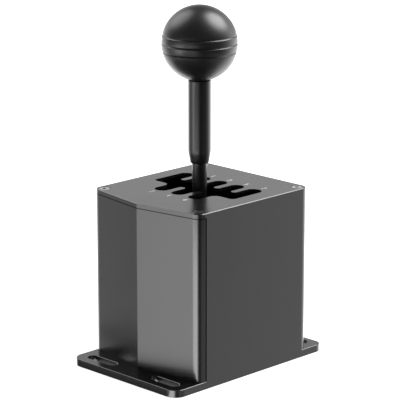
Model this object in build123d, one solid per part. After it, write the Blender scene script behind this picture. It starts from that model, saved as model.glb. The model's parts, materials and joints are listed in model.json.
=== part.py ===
from build123d import *

import os
from math import atan, cos, degrees, hypot, pi, radians, sin, sqrt, tan

os.makedirs("parts", exist_ok=True)

# An H pattern gear shifter for a driving rig, in millimetres.
# X runs across it, Y from the driver to the rear, Z up from the surface it is bolted to.
# The lever stands upright in neutral, over the middle column of the gate.

# Casing
body_width = 100.0
body_depth = 104.1  # from the front shoulders to the rear face
body_height = 118.5
ridge_rise = 7.8  # the front is a shallow V, and its ridge stands out this far
corner_radius = 6.4
front_flange = 21.9
rear_flange = 16.0
flange_thickness = 5.0
flange_front_radius = 8.0  # the front corners are rounder than the case
flange_edge_break = 0.25
edge_break = 0.4
side_wall = 4.0
cover_wall = 3.0
plate_thickness = 3.0
plate_edge_break = 0.35
lap_length = 4.9  # the front cover reaches this far behind the side walls' skin
lap_skin = 2.0
lap_clearance = 0.1
seam_gap = 0.5  # under the gate plate
corner_seam = 1.0  # between the front cover's end and the side face
post_radius = 5.2
post_inset = 6.0  # corner screws, in from the side, rear and shoulder faces
front_post_inset = 4.6

# Slots in the flange for M6 bolts
slot_length = 26.0
slot_width = 7.2
slot_side_inset = 7.5  # from the flange's side to the slot's end
slot_front_inset = 9.9  # from the flange's front edge to the slot's middle
slot_rear_inset = 8.3

# Screws with countersunk heads and hexagon sockets
m4_radius = 2.0
m4_head_radius = 3.8
m4_head_height = 2.1
m4_socket = 2.5
m3_radius = 1.5
m3_head_radius = 2.9
m3_head_height = 1.6
m3_socket = 2.0
head_land_share = 0.12
socket_depth_share = 0.75
thread_tip_share = 0.3
screw_clearance = 0.05
head_clearance = 0.15
plate_screw_length = 12.0
cover_screw_length = 14.0
thread_run_out = 1.0

# Gate. Its centre is on the lever's axis.
lever_ahead = 1.95  # in front of the middle between shoulders and rear face
column_pitch = 15.8
slot_half_width = 5.4
outer_slot_half_width = 5.8  # the two outer columns meet a lever that leans further
lane_half_width = 6.9
gate_end_clearance = 0.85
lane_corner_radius = 3.3
shoulder_radius = 5.0
tongue_round_share = 0.49
relief_width = 0.8
relief_depth = 1.0

# Lever, turned from one bar
lever_radius = 5.0
grip_radius = 7.6
slim_rise = 17.3  # from the gate plate up to the taper
taper_length = 7.9
taper_blend = 9.0
taper_foot_radius = 6.1  # the taper ends in a small step down to the slim part
taper_foot_round = 0.8
grip_length = 48.6
grip_chamfer = 0.6
knob_thread_radius = 4.0
knob_thread_length = 17.0
lever_engagement = 18.0  # how far the lever screws into its block

# Knob
knob_radius = 25.2
knob_rise = 24.3  # from the lever's shoulder to the ball's centre
groove_depth = 0.9
groove_half_width = 0.65
groove_heights = (5.5, 0.0, -5.5)
insert_radius = 6.5
insert_length = 20.0
insert_knurl = 0.4
insert_knurl_depth = 0.3
bore_clearance = 0.05

# Pivots. The cradle swings about Y to pick a column, the lever about X to pick a gear.
select_height = 28.0
shift_height = 50.0
shift_angle = 15.0

# Cradle
cradle_half_width = 18.0
room_behind_shaft = 9.0  # from the rear shaft's end to the rear wall
cradle_side = 6.0
cradle_end = 6.0
cradle_below = 10.0  # the ring reaches this far below and above its own axis
cradle_above = 10.0
cradle_round = 3.0
cheek_half_foot = 15.0
cheek_radius = 9.0
wing_past_plunger = 6.0
wing_half_depth = 6.0
wing_thickness = 5.0
wing_round = 2.0

# Cradle shafts and their bearings
shaft_radius = 4.0
shaft_past_bearing = 2.0
running_clearance = 0.03
bearing_radius = 11.0
bearing_width = 7.0
bearing_ring_width = 1.8
ball_radius = 1.9
ball_count = 7
groove_clearance = 0.04
shield_thickness = 0.5
shield_clearance = 0.1
seat_clearance = 0.02
spacer_radius = 5.6
spacer_length = 3.0
spacer_clearance = 0.1
block_lip = 1.0  # behind the bearing's seat
block_half_width = 17.0
block_shoulder_height = 9.0
block_radius = 15.0
block_bore_radius = 8.0
block_screw_spacing = 25.0
block_screw_length = 13.0
grub_radius = 2.0
grub_socket = 2.0
grub_socket_depth = 1.6

# Lever block, pin and bushes
block_side_clearance = 0.2
lever_block_half_depth = 9.0
lever_block_below = 12.0  # the block reaches this far below and above its pin
lever_block_above = 14.0
lever_block_round = 2.0
neck_radius = 9.0
neck_height = 10.0
tail_radius = 6.0
tail_clearance = 2.5  # from the detent nose's centre up to the tail's end
pin_radius = 4.0
pin_past_right = 2.0  # how far the pin stands out of the cradle's cheeks
pin_past_left = 4.0
bush_radius = 5.0
bush_flange_radius = 6.5
bush_flange = 1.8
clip_thickness = 0.7
clip_radius = 6.0
clip_groove_radius = 3.3
clip_groove_width = 0.8
clip_offset = 0.3
clip_mouth = 3.6
clip_clearance = 0.05
nut_across_flats = 15.0
nut_height = 6.0
nut_chamfer = 0.8
lock_screw_radius = 2.5
lock_screw_socket = 2.5

# Detent
detent_ball_radius = 3.5
detent_travel = 0.8
detent_clearance = 0.05
detent_spring_share = 0.5  # of the room above the nose; the pin takes the rest
detent_spring_wall = 2.0
detent_spring_clearance = 0.5
detent_wire_radius = 0.45
detent_spring_pitch = 1.82
track_clearance = 0.1
track_half_width = 5.0
track_half_depth = 13.0
track_floor = 1.6  # under the seats, above the bridge
track_bridge = 3.0
track_base_half_width = 8.0
track_rib_height = 6.5
track_screw_length = 8.0

# Centring plungers under the cradle's wings
plunger_arm = 27.0
plunger_radius = 4.0
plunger_bore_radius = 3.0
plunger_length = 20.8
plunger_crown = 5.3
plunger_gap = 0.2
plunger_clearance = 0.08
guide_radius = 5.25
guide_overlap = 9.0  # how far the guide's tube reaches up past the plunger's foot
guide_floor = 1.0
guide_flange_across_flats = 14.0
guide_flange_height = 3.0
guide_clearance = 0.05
centring_spring_clearance = 0.2
centring_wire_radius = 0.4
centring_spring_pitch = 2.46

# Angle sensors: a magnet in the end of a shaft, and a board that faces it
magnet_radius = 2.8
magnet_length = 2.0
magnet_clearance = 0.02
board_thickness = 1.6
sensor_gap = 1.0
sensor_chip = 5.0
sensor_chip_height = 1.0
sensor_board_half_width = 10.0
sensor_board_lift = 2.0  # above the flange
sensor_board_above = 7.0
spacer_post_radius = 2.4
post_screw_radius = 1.25
post_screw_head_radius = 2.2
post_screw_head_height = 1.4
post_screw_socket = 1.5
select_post_spacing = 14.0
select_post_rise = 6.0  # above the flange
shift_board_half_depth = 11.5
shift_board_below = 8.0
shift_board_above = 7.0
shift_post_spacing = 18.0
shift_post_drop = 5.5  # below the lever's pin

# Main board and the two sockets in the rear wall
main_board_half_width = 30.0
main_board_rise = 5.0  # above the rear bearing block
main_board_drop = 17.5  # below the gate plate
board_post_length = 10.0
board_post_radius = 3.5
board_post_inset = 4.0
board_screw_length = 8.0
chip_side = 10.0
chip_height = 1.2
header_width = 8.0
header_height = 5.0
header_depth = 6.0
header_wall = 0.8
header_pitch = 16.0
socket_rise = 14.0  # from the main board's foot to the sockets' middle
socket_clearance = 0.3
socket_recess = 0.2
usb_offset = 12.0
usb_width = 9.0
usb_height = 3.3
usb_shell = 0.35
usb_depth = 7.0
usb_tongue_width = 6.6
usb_tongue_thickness = 0.7
data_offset = 12.0
data_width = 13.4
data_height = 12.0
data_cavity_width = 9.8
data_cavity_height = 6.8
data_cavity_depth = 11.0
data_latch_width = 4.2
data_latch_height = 2.4
data_key_width = 6.2
data_key_height = 1.0

# Places that follow from the sizes above
flange_length = front_flange + body_depth + rear_flange
half_width = body_width / 2
shoulder_y = front_flange - flange_length / 2
rear_y = shoulder_y + body_depth
ridge_y = shoulder_y - ridge_rise
wall_top = body_height - plate_thickness
lever_y = shoulder_y + body_depth / 2 - lever_ahead
overrun = flange_thickness  # how far a cutter runs past the faces that it cuts

# The front corners' rounds end on the side faces here, which is where the front cover ends
facet_length = hypot(half_width, ridge_rise)
facet_lean = ridge_rise / facet_length
facet_run = half_width / facet_length
corner_x = half_width - corner_radius
seam_y = ridge_y + (corner_radius + corner_x * facet_lean) / facet_run

front_screw_y = shoulder_y + front_post_inset
rear_screw_y = rear_y - post_inset
screw_x = half_width - post_inset

slot_spacing_x = body_width - 2 * slot_side_inset - slot_length
gate_guide_mid = body_height - (plate_thickness - relief_depth) / 2
select_angle = degrees(atan(column_pitch / (gate_guide_mid - select_height)))

bearing_room = spacer_length + bearing_width + shaft_past_bearing
cradle_half_depth = rear_y - side_wall - room_behind_shaft - bearing_room - lever_y
block_depth = bearing_width + block_lip
block_inner_y = cradle_half_depth + spacer_length
block_outer_y = block_inner_y + block_depth
shaft_end_y = block_inner_y + bearing_width + shaft_past_bearing
cradle_low = select_height - cradle_below
cradle_high = select_height + cradle_above
wing_reach = plunger_arm + wing_past_plunger
plunger_low = select_height - plunger_gap - plunger_length
guide_top = plunger_low + guide_overlap
select_post_height = flange_thickness + select_post_rise
shift_post_height = shift_height - shift_post_drop
block_side = cradle_half_width - cradle_side - bush_flange - block_side_clearance
pin_right_end = cradle_half_width + pin_past_right
pin_left_end = cradle_half_width + pin_past_left
centring_spring_radius = plunger_bore_radius - centring_wire_radius - centring_spring_clearance

gate_reach = (body_height - shift_height) * tan(radians(shift_angle))
gate_reach += lever_radius + gate_end_clearance
lever_block_low = shift_height - lever_block_below
lever_block_high = shift_height + lever_block_above
neck_top = lever_block_high + neck_height
lever_foot = neck_top - lever_engagement
taper_low = body_height + slim_rise
taper_high = taper_low + taper_length
grip_top = taper_high + grip_length
knob_centre = grip_top + knob_rise

# The detent's nose hangs from the lever's pivot, its seats lie in the track
seat_radius = detent_ball_radius + track_clearance
track_low = cradle_low - track_bridge
track_high = cradle_low + track_rib_height
nose_height = cradle_low + track_floor + seat_radius + detent_travel
detent_reach = shift_height - nose_height  # with the nose held up, clear of the seats
track_radius = detent_reach + seat_radius
tail_low = nose_height + tail_clearance
detent_room = shift_height - pin_radius - detent_spring_wall - nose_height
detent_spring_height = detent_room * detent_spring_share
detent_pin_length = detent_room - detent_spring_height
detent_bore_radius = detent_ball_radius + detent_clearance
detent_spring_radius = detent_bore_radius - detent_wire_radius - detent_spring_clearance

main_board_foot = select_height + block_radius + main_board_rise
main_board_head = wall_top - main_board_drop
socket_height = main_board_foot + socket_rise


def bar_z(radius, low, high, x=0, y=0):
    """Round bar along Z."""
    return Pos(x, y, (low + high) / 2) * Cylinder(radius, high - low)


def bar_x(radius, left, right, y=0, z=0):
    """Round bar along X."""
    return Pos((left + right) / 2, y, z) * Rot(0, 90, 0) * Cylinder(radius, right - left)


def bar_y(radius, front, rear, x=0, z=0):
    """Round bar along Y."""
    return Pos(x, (front + rear) / 2, z) * Rot(90, 0, 0) * Cylinder(radius, rear - front)


def slab(left, right, front, rear, low, high):
    """Box between six planes."""
    centre = Pos((left + right) / 2, (front + rear) / 2, (low + high) / 2)
    return centre * Box(right - left, rear - front, high - low)


def turned(*points):
    """Solid turned about Z from its (radius, height) outline."""
    return revolve(make_face(Plane.XZ * Polyline(*points, close=True)), Axis.Z)


def raised(face, low, high):
    """Plan outline made solid between two heights."""
    return Pos(0, 0, low) * extrude(face, high - low)


def group(pieces):
    """Separate solids that share one node."""
    return Part() + list(pieces)


def hex_bar(across_flats, low, high):
    """Hexagonal bar along Z."""
    return raised(RegularPolygon(across_flats / 2, 6, major_radius=False), low, high)


def mirrored_pair(piece):
    """A piece and its twin on the other side of the middle plane."""
    return group([piece, mirror(piece, about=Plane.YZ)])


def countersunk_screw(radius, head_radius, head_height, socket, length):
    """Screw that points down from its flat head at height zero."""
    land = head_height * head_land_share
    tip = radius * thread_tip_share
    body = turned(
        (0, 0),
        (head_radius, 0),
        (head_radius, -land),
        (radius, -head_height),
        (radius, tip - length),
        (radius - tip, -length),
        (0, -length),
    )
    return body - hex_bar(socket, -head_height * socket_depth_share, overrun)


def countersunk_hole(radius, head_radius, head_height, depth):
    """Cutter for that screw, a little larger than it all round."""
    wide = head_radius + head_clearance
    narrow = radius + screw_clearance
    land = head_height * head_land_share + head_clearance
    return turned(
        (0, overrun),
        (wide, overrun),
        (wide, -land),
        (narrow, -head_height - head_clearance),
        (narrow, -depth),
        (0, -depth),
    )


def m4_screw(length):
    return countersunk_screw(m4_radius, m4_head_radius, m4_head_height, m4_socket, length)


def m4_hole(depth):
    return countersunk_hole(m4_radius, m4_head_radius, m4_head_height, depth)


def m3_screw(length):
    return countersunk_screw(m3_radius, m3_head_radius, m3_head_height, m3_socket, length)


def m3_hole(depth):
    return countersunk_hole(m3_radius, m3_head_radius, m3_head_height, depth)


def cap_screw(radius, head_radius, head_height, socket, length):
    """Screw with a round head that stands on height zero, its shank pointing down."""
    body = bar_z(head_radius, 0, head_height) + bar_z(radius, -length, 0)
    return body - hex_bar(socket, head_height * (1 - socket_depth_share), head_height + overrun)


def grub_screw(radius, socket, low, high):
    """Headless screw along Z, its socket at the top."""
    return bar_z(radius, low, high) - hex_bar(socket, high - grub_socket_depth, high + overrun)


def least_gap(arcs, wire_radius, turns):
    """Smallest gap between a wound wire and its next turn, measured on points along its path."""
    samples_per_arc = 4
    points = [arc.position_at(step / samples_per_arc) for arc in arcs for step in range(samples_per_arc)]
    half_turn = len(points) // (2 * turns)
    apart = [
        (points[later] - points[first]).length
        for first in range(len(points))
        for later in range(first + half_turn, len(points))
    ]
    return min(apart) - 2 * wire_radius


def coil_spring(mean_radius, wire_radius, low, high, pitch):
    """One unbroken wire round Z, swept along quarter turns that are two arcs each."""
    turns = max(1, round((high - low - 2 * wire_radius) / pitch))
    climb = (high - low - 2 * wire_radius) / (4 * turns)
    rise = climb / (mean_radius * pi / 2)
    stations = []
    for quarter in range(4 * turns + 1):
        angle = quarter * pi / 2
        height = low + wire_radius + quarter * climb
        point = Vector(mean_radius * cos(angle), mean_radius * sin(angle), height)
        heading = Vector(-sin(angle), cos(angle), rise).normalized()
        stations.append((point, heading))
    arcs = []
    for (start, first), (end, last) in zip(stations, stations[1:]):
        chord = end - start
        both = first + last
        bend = 4 - both.dot(both)
        along = chord.dot(both)
        reach = (sqrt(along * along + bend * chord.dot(chord)) - along) / bend
        before = start + first * reach
        after = end - last * reach
        middle = (before + after) * 0.5
        arcs.append(Edge.make_tangent_arc(start, first, middle))
        arcs.append(Edge.make_tangent_arc(middle, (after - before).normalized(), end))
    print("spring gap", round(least_gap(arcs, wire_radius, turns), 2))
    start, heading = stations[0]
    section = Plane(origin=start, z_dir=heading) * Circle(wire_radius)
    return sweep(section, path=Wire(arcs))


def body_outline():
    """Plan of the casing: square at the rear, a shallow V in front, rounded at four corners."""
    sharp = make_face(
        Polyline(
            (-half_width, rear_y),
            (half_width, rear_y),
            (half_width, shoulder_y),
            (0, ridge_y),
            (-half_width, shoulder_y),
            close=True,
        )
    )
    corners = [v for v in sharp.vertices() if abs(v.X) > half_width / 2]
    return fillet(corners, corner_radius)


def lap_strip(inner, outer, front, rear):
    """Plan strips on both sides, given by their distance from the middle plane."""
    strip = Pos((inner + outer) / 2, (front + rear) / 2) * Rectangle(outer - inner, rear - front)
    return strip + mirror(strip, about=Plane.YZ)


def below_y(limit):
    """Plan area in front of a line across the casing."""
    return Pos(0, limit - flange_length) * Rectangle(2 * body_width, 2 * flange_length)


def screw_posts(y):
    post = Pos(screw_x, y) * Circle(post_radius)
    return post + mirror(post, about=Plane.YZ)


def socket_places():
    """Width, height and middle of each socket in the rear wall."""
    return (
        (usb_width, usb_height, -usb_offset),
        (data_width, data_height, data_offset),
    )


def board_posts():
    """Middles of the four posts that carry the main board, across and up."""
    x = main_board_half_width - board_post_inset
    low = main_board_foot + board_post_inset
    high = main_board_head - board_post_inset
    return [(side * x, z) for side in (-1, 1) for z in (low, high)]


def flange_outline():
    plan = Rectangle(body_width, flange_length)
    plan = fillet([v for v in plan.vertices() if v.Y < 0], flange_front_radius)
    return fillet([v for v in plan.vertices() if v.Y > 0], corner_radius)


def housing():
    """Base flange, side walls and rear wall, cast in one piece and open in front and on top."""
    flange = raised(flange_outline(), 0, flange_thickness)
    slots = []
    for side in (-1, 1):
        x = side * slot_spacing_x / 2
        for y in (slot_front_inset - flange_length / 2, flange_length / 2 - slot_rear_inset):
            slots.append(Pos(x, y) * SlotOverall(slot_length, slot_width))
    flange -= [raised(slot, -overrun, flange_thickness + overrun) for slot in slots]
    flange = chamfer(flange.edges().group_by(Axis.Z)[-1], flange_edge_break)

    outline = body_outline()
    lap_y = seam_y + lap_length
    behind_lap = Pos(0, lap_y + flange_length) * Rectangle(2 * body_width, 2 * flange_length)
    skin = lap_strip(half_width - lap_skin, body_width, seam_y + corner_seam, lap_y + side_wall)
    plan = (outline - offset(outline, -side_wall)) & (behind_lap + skin)
    plan += screw_posts(rear_screw_y) & outline
    shell = flange + raised(plan, 0, wall_top)

    inner_rear = rear_y - side_wall
    for x, z in board_posts():
        shell += bar_y(board_post_radius, inner_rear - board_post_length, inner_rear, x, z)
        shell -= bar_y(
            m3_radius + screw_clearance,
            inner_rear - board_post_length - overrun,
            inner_rear - board_post_length + board_screw_length,
            x,
            z,
        )
    for width, height, x in socket_places():
        half = width / 2 + socket_clearance
        rise = height / 2 + socket_clearance
        shell -= slab(
            x - half,
            x + half,
            inner_rear - overrun,
            rear_y + overrun,
            socket_height - rise,
            socket_height + rise,
        )

    tap = m4_radius + screw_clearance
    for side in (-1, 1):
        x = side * screw_x
        depth = plate_screw_length - plate_thickness + thread_run_out
        shell -= bar_z(tap, wall_top - depth, wall_top + overrun, x, rear_screw_y)
        from_below = Rot(180, 0, 0) * m4_hole(flange_thickness + overrun)
        shell -= Pos(x, front_screw_y, 0) * from_below
        for end in (-1, 1):
            y = lever_y + end * (block_inner_y + block_depth / 2)
            shell -= Pos(side * block_screw_spacing / 2, y, 0) * from_below
        shell -= bar_z(
            guide_radius + guide_clearance,
            -overrun,
            flange_thickness + overrun,
            side * plunger_arm,
            lever_y,
        )
    return shell


def front_cover():
    """V shaped front panel that wraps both corners and laps behind the side walls."""
    outline = body_outline()
    wall = (outline - offset(outline, -cover_wall)) & below_y(seam_y)
    behind_skin = half_width - lap_skin - lap_clearance
    lap = lap_strip(half_width - side_wall, behind_skin, seam_y - cover_wall,
                    seam_y + lap_length - lap_clearance)
    room = below_y(seam_y) + Rectangle(2 * behind_skin, 2 * flange_length)
    posts = screw_posts(front_screw_y) & outline & room & below_y(seam_y + lap_length - lap_clearance)
    panel = raised(wall + (lap & outline) + posts, flange_thickness, wall_top)
    lowered = below_y(seam_y) & (outline - offset(outline, -cover_wall / 2))
    panel -= raised(lowered, wall_top - seam_gap, wall_top + overrun)
    tap = m4_radius + screw_clearance
    for side in (-1, 1):
        x = side * screw_x
        upper = plate_screw_length - plate_thickness + thread_run_out
        lower = cover_screw_length + thread_run_out
        panel -= bar_z(tap, wall_top - upper, wall_top + overrun, x, front_screw_y)
        panel -= bar_z(tap, flange_thickness - overrun, lower, x, front_screw_y)
    return panel


def gate_opening():
    """Five slots to the rear, three to the front, joined by the neutral lane."""
    outer_x = 2 * column_pitch + outer_slot_half_width
    opening = Rectangle(2 * outer_x, 2 * lane_half_width)
    length = gate_reach + lane_half_width
    middle = (gate_reach - lane_half_width) / 2
    for column in (-2, -1, 0, 1, 2):
        half = outer_slot_half_width if abs(column) == 2 else slot_half_width
        slot = Rot(0, 0, 90) * SlotOverall(length, 2 * half)
        opening += Pos(column * column_pitch, middle) * slot
        if abs(column) < 2:
            opening += Pos(column * column_pitch, -middle) * slot
    tongue_tips = []
    for vertex in opening.vertices():
        if abs(vertex.Y - lane_half_width) < edge_break and abs(vertex.X) < outer_x - edge_break:
            tongue_tips.append(vertex)
        if abs(vertex.Y + lane_half_width) < edge_break and abs(vertex.X) < column_pitch:
            tongue_tips.append(vertex)
    thinnest = column_pitch - slot_half_width - outer_slot_half_width
    opening = fillet(tongue_tips, thinnest * tongue_round_share)
    near = [v for v in opening.vertices() if abs(v.Y + lane_half_width) < edge_break]
    shoulders = [v for v in near if abs(abs(v.X) - column_pitch - slot_half_width) < edge_break]
    opening = fillet(shoulders, shoulder_radius)
    near = [v for v in opening.vertices() if abs(v.Y + lane_half_width) < edge_break]
    ends = [v for v in near if abs(abs(v.X) - outer_x) < edge_break]
    return fillet(ends, lane_corner_radius)


def gate_plate():
    """Top plate with the gate, relieved from below so that a leaning lever passes."""
    plate = raised(body_outline(), wall_top, body_height)
    plate = chamfer(plate.edges().group_by(Axis.Z)[-1], plate_edge_break)
    opening = gate_opening()
    place = Pos(0, lever_y)
    plate -= raised(place * opening, wall_top - overrun, body_height + overrun)
    relief = offset(opening, relief_width)
    plate -= raised(place * relief, wall_top - overrun, wall_top + relief_depth)
    for side in (-1, 1):
        for y in (front_screw_y, rear_screw_y):
            plate -= Pos(side * screw_x, y, body_height) * m4_hole(plate_thickness + overrun)
    return plate


def gate_plate_screws():
    screw = m4_screw(plate_screw_length)
    corners = [(side * screw_x, y) for side in (-1, 1) for y in (front_screw_y, rear_screw_y)]
    return group(Pos(x, y, body_height - head_clearance) * screw for x, y in corners)


def front_cover_screws():
    screw = Rot(180, 0, 0) * m4_screw(cover_screw_length - head_clearance)
    return mirrored_pair(Pos(screw_x, front_screw_y, head_clearance) * screw)


def bearing_block(end):
    """Upright that carries one cradle bearing. End is -1 for the front and 1 for the rear."""
    outline = make_face(
        Polyline(
            (-block_half_width, flange_thickness),
            (block_half_width, flange_thickness),
            (block_half_width, flange_thickness + block_shoulder_height),
            (block_radius, select_height),
            (-block_radius, select_height),
            (-block_half_width, flange_thickness + block_shoulder_height),
            close=True,
        )
    )
    outline += Pos(0, select_height) * Circle(block_radius)
    block = extrude(Plane.XZ * outline, block_depth / 2, both=True)
    block -= bar_y(block_bore_radius, -block_depth, block_depth, 0, select_height)
    seat = bearing_radius + seat_clearance
    inner = -end * block_depth / 2
    block -= Pos(0, inner, 0) * bar_y(seat, -bearing_width, bearing_width, 0, select_height)
    depth = block_screw_length + thread_run_out
    for side in (-1, 1):
        x = side * block_screw_spacing / 2
        block -= bar_z(m4_radius + screw_clearance, 0, depth, x, 0)
        if end < 0:
            x = side * select_post_spacing / 2
            block -= bar_y(post_screw_radius + screw_clearance, -block_depth, 0, x,
                           select_post_height)
    return Pos(0, lever_y + end * (block_inner_y + block_depth / 2), 0) * block


def bearing_block_screws():
    screw = Rot(180, 0, 0) * m4_screw(block_screw_length - head_clearance)
    places = []
    for side in (-1, 1):
        for end in (-1, 1):
            y = lever_y + end * (block_inner_y + block_depth / 2)
            places.append(Pos(side * block_screw_spacing / 2, y, head_clearance))
    return group(place * screw for place in places)


def ball_bearing(end):
    """Two grooved rings, their balls and two shields."""
    bore = shaft_radius + running_clearance
    inner_edge = bore + bearing_ring_width
    outer_edge = bearing_radius - bearing_ring_width
    pitch = (inner_edge + outer_edge) / 2
    half = bearing_width / 2
    groove = Torus(pitch, ball_radius + groove_clearance)
    inner = turned((bore, -half), (inner_edge, -half), (inner_edge, half), (bore, half)) - groove
    outer = turned(
        (outer_edge, -half), (bearing_radius, -half), (bearing_radius, half), (outer_edge, half)
    ) - groove
    balls = [
        Rot(0, 0, 360 * index / ball_count) * Pos(pitch, 0, 0) * Sphere(ball_radius)
        for index in range(ball_count)
    ]
    shield = turned(
        (inner_edge + shield_clearance, half - shield_thickness),
        (outer_edge, half - shield_thickness),
        (outer_edge, half),
        (inner_edge + shield_clearance, half),
    )
    shields = [shield, mirror(shield, about=Plane.XY)]
    bearing = group([inner, outer, *balls, *shields])
    middle = lever_y + end * (block_inner_y + bearing_width / 2)
    return Pos(0, middle, select_height) * Rot(90, 0, 0) * bearing


def spring_guide(side):
    """Tube for one centring plunger, let into the base up to its hexagonal collar."""
    collar = flange_thickness + guide_flange_height
    guide = bar_z(guide_radius, guide_floor, guide_top)
    guide += hex_bar(guide_flange_across_flats, flange_thickness, collar)
    guide -= bar_z(plunger_radius + plunger_clearance, 2 * guide_floor, guide_top + overrun)
    return Pos(side * plunger_arm, lever_y, 0) * guide


def centring_spring(side):
    """Spring inside the plunger, from the guide's floor to the plunger's crown."""
    top = select_height - plunger_gap - plunger_crown
    spring = coil_spring(
        centring_spring_radius, centring_wire_radius, 2 * guide_floor, top, centring_spring_pitch
    )
    return Pos(side * plunger_arm, lever_y, 0) * spring


def centring_plunger(side):
    """Hollow pin with a domed head that pushes a cradle wing up."""
    top = select_height - plunger_gap
    plunger = bar_z(plunger_radius, plunger_low, top - plunger_radius)
    plunger += Pos(0, 0, top - plunger_radius) * Sphere(plunger_radius)
    plunger -= bar_z(plunger_bore_radius, plunger_low - overrun, top - plunger_crown)
    return Pos(side * plunger_arm, lever_y, 0) * plunger


def cradle():
    """Ring that swings on two shafts, with two cheeks for the lever's pin and two wings."""
    ring = slab(-cradle_half_width, cradle_half_width, -cradle_half_depth, cradle_half_depth,
                cradle_low, cradle_high)
    ring = fillet(ring.edges().filter_by(Axis.Z), cradle_round)
    inner_x = cradle_half_width - cradle_side
    inner_y = cradle_half_depth - cradle_end
    ring -= slab(-inner_x, inner_x, -inner_y, inner_y, cradle_low - overrun, cradle_high + overrun)
    cheek_face = make_face(
        Polyline(
            (-cheek_half_foot, cradle_high),
            (cheek_half_foot, cradle_high),
            (cheek_radius, shift_height),
            (-cheek_radius, shift_height),
            close=True,
        )
    )
    cheek_face += Pos(0, shift_height) * Circle(cheek_radius)
    cheek = Pos(inner_x, 0, 0) * extrude(Plane.YZ * cheek_face, cradle_side)
    wing = slab(inner_x, wing_reach, -wing_half_depth, wing_half_depth,
                select_height, select_height + wing_thickness)
    tips = wing.edges().filter_by(Axis.Z).group_by(Axis.X)[-1]
    wing = fillet(tips, wing_round)
    whole = ring + mirrored_pair(cheek) + mirrored_pair(wing)
    whole -= bar_x(bush_radius, -body_width, body_width, 0, shift_height)
    whole -= bar_y(shaft_radius, -body_depth, body_depth, 0, select_height)
    hole_y = cradle_half_depth - cradle_end / 2
    for end in (-1, 1):
        whole -= bar_z(grub_radius + screw_clearance, select_height, cradle_high + overrun,
                       0, end * hole_y)
        whole -= bar_z(m3_radius + screw_clearance, cradle_low - overrun, select_height,
                       0, end * hole_y)
    for side in (-1, 1):
        y = side * shift_post_spacing / 2
        whole -= bar_x(post_screw_radius + screw_clearance, -cradle_half_width - overrun,
                       -inner_x - edge_break, y, shift_post_height)
    return Pos(0, lever_y, 0) * whole


def select_shaft(end):
    """Stub shaft held in one end of the cradle. The front one carries the sensor's magnet."""
    shaft = bar_y(shaft_radius, cradle_half_depth - cradle_end, shaft_end_y, 0, select_height)
    if end < 0:
        shaft -= bar_y(magnet_radius + magnet_clearance, shaft_end_y - magnet_length,
                       shaft_end_y + overrun, 0, select_height)
        shaft = mirror(shaft, about=Plane.XZ)
    return Pos(0, lever_y, 0) * shaft


def select_magnet():
    magnet = bar_y(magnet_radius, -shaft_end_y, magnet_length - shaft_end_y, 0, select_height)
    return Pos(0, lever_y, 0) * magnet


def shaft_spacers():
    """Sleeves that keep the cradle off the bearings' outer rings."""
    bore = shaft_radius + bore_clearance
    half = spacer_length / 2 - spacer_clearance
    sleeve = turned((bore, -half), (spacer_radius, -half), (spacer_radius, half), (bore, half))
    middle = cradle_half_depth + spacer_length / 2
    pieces = [
        Pos(0, lever_y + end * middle, select_height) * Rot(90, 0, 0) * sleeve for end in (-1, 1)
    ]
    return group(pieces)


def shaft_set_screws():
    """Grub screws that lock the two shafts in the cradle."""
    screw = grub_screw(grub_radius, grub_socket, select_height + shaft_radius + screw_clearance,
                       cradle_high - edge_break)
    y = cradle_half_depth - cradle_end / 2
    return group(Pos(0, lever_y + end * y, 0) * screw for end in (-1, 1))


def detent_track():
    """Bridge under the cradle, with three seats for the detent's nose."""
    base = slab(-track_base_half_width, track_base_half_width, -cradle_half_depth,
                cradle_half_depth, track_low, cradle_low)
    rib = slab(-track_half_width, track_half_width, -track_half_depth, track_half_depth,
               cradle_low, track_high)
    rib -= bar_x(track_radius, -body_width, body_width, 0, shift_height)
    seat = bar_x(seat_radius, -body_width, body_width, 0,
                 -detent_reach - detent_travel)
    for gear in (-1, 0, 1):
        rib -= Pos(0, 0, shift_height) * Rot(gear * shift_angle, 0, 0) * seat
    track = base + rib
    hole_y = cradle_half_depth - cradle_end / 2
    for end in (-1, 1):
        from_below = Rot(180, 0, 0) * m3_hole(track_screw_length + overrun)
        track -= Pos(0, end * hole_y, track_low) * from_below
    return Pos(0, lever_y, 0) * track


def detent_track_screws():
    screw = Rot(180, 0, 0) * m3_screw(track_screw_length)
    y = cradle_half_depth - cradle_end / 2
    return group(
        Pos(0, lever_y + end * y, track_low + head_clearance) * screw for end in (-1, 1)
    )


def pin_bush(side):
    """Flanged bush in one cheek."""
    bore = pin_radius + running_clearance
    inner_x = cradle_half_width - cradle_side
    bush = turned(
        (bore, inner_x - bush_flange),
        (bush_flange_radius, inner_x - bush_flange),
        (bush_flange_radius, inner_x),
        (bush_radius, inner_x),
        (bush_radius, cradle_half_width),
        (bore, cradle_half_width),
    )
    return Pos(0, lever_y, shift_height) * Rot(0, side * 90, 0) * bush


def shift_pin():
    """Pin that turns with the lever, grooved for its two clips, a magnet in its left end."""
    pin = bar_x(pin_radius, -pin_left_end, pin_right_end)
    groove_in = cradle_half_width + clip_offset
    groove = turned(
        (clip_groove_radius, groove_in),
        (pin_radius + overrun, groove_in),
        (pin_radius + overrun, groove_in + clip_groove_width),
        (clip_groove_radius, groove_in + clip_groove_width),
    )
    for side in (-1, 1):
        pin -= Rot(0, side * 90, 0) * groove
    pin -= bar_x(magnet_radius + magnet_clearance, -pin_left_end - overrun,
                 magnet_length - pin_left_end)
    return Pos(0, lever_y, shift_height) * pin


def shift_magnet():
    magnet = bar_x(magnet_radius, -pin_left_end, magnet_length - pin_left_end)
    return Pos(0, lever_y, shift_height) * magnet


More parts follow.
